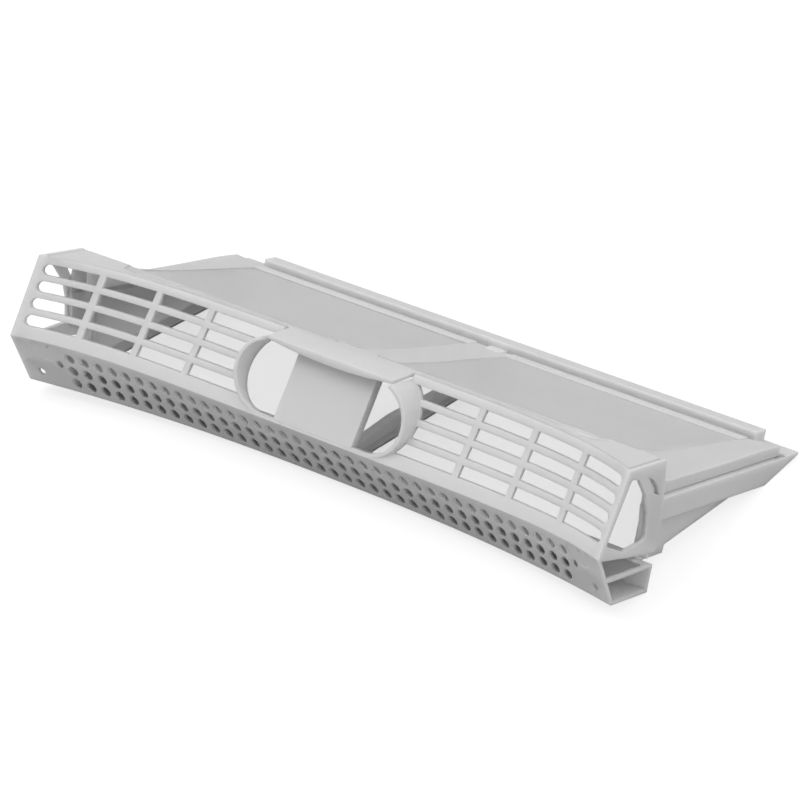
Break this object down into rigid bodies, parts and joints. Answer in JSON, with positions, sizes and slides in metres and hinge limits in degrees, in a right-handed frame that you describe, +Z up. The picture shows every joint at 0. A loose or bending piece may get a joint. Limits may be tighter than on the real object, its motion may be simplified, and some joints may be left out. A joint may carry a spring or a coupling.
{
  "type": "tumble dryer lint filter",
  "caption": "Long slotted grille head with a finger grip, and behind it a flat wedge-shaped bag: a tray and a hinged lid with woven screens, which folds open to take out the lint.",
  "frame": {"origin": "on the table under the middle of the footprint, as the filter lies at rest on the lower back edge of its head and the far lower edge of its tray", "axes": "+X along the head to its right end as seen from the front, +Y from the head to the hinge side, +Z up from the table"},
  "size_m": [0.42, 0.2266, 0.091],
  "materials": {
    "housing": "fine matte moulded plastic, light grey, very slightly translucent",
    "screen": "fine woven polyester mesh, pale grey"
  },
  "bodies": {
    "filter_body": {"grille_head": "housing", "tray": "housing", "tray_screen_left": "screen", "tray_screen_right": "screen"},
    "lid_frame": {"lid": "housing", "lid_screen_left": "screen", "lid_screen_right": "screen"}
  },
  "joints": [
    {"name": "lid_hinge", "type": "hinge", "parent": "filter_body", "child": "lid_frame", "pos_m": [0, 0.09373, 0.00943], "axis": [-1, 0, 0], "range_deg": [0, 100]}
  ]
}
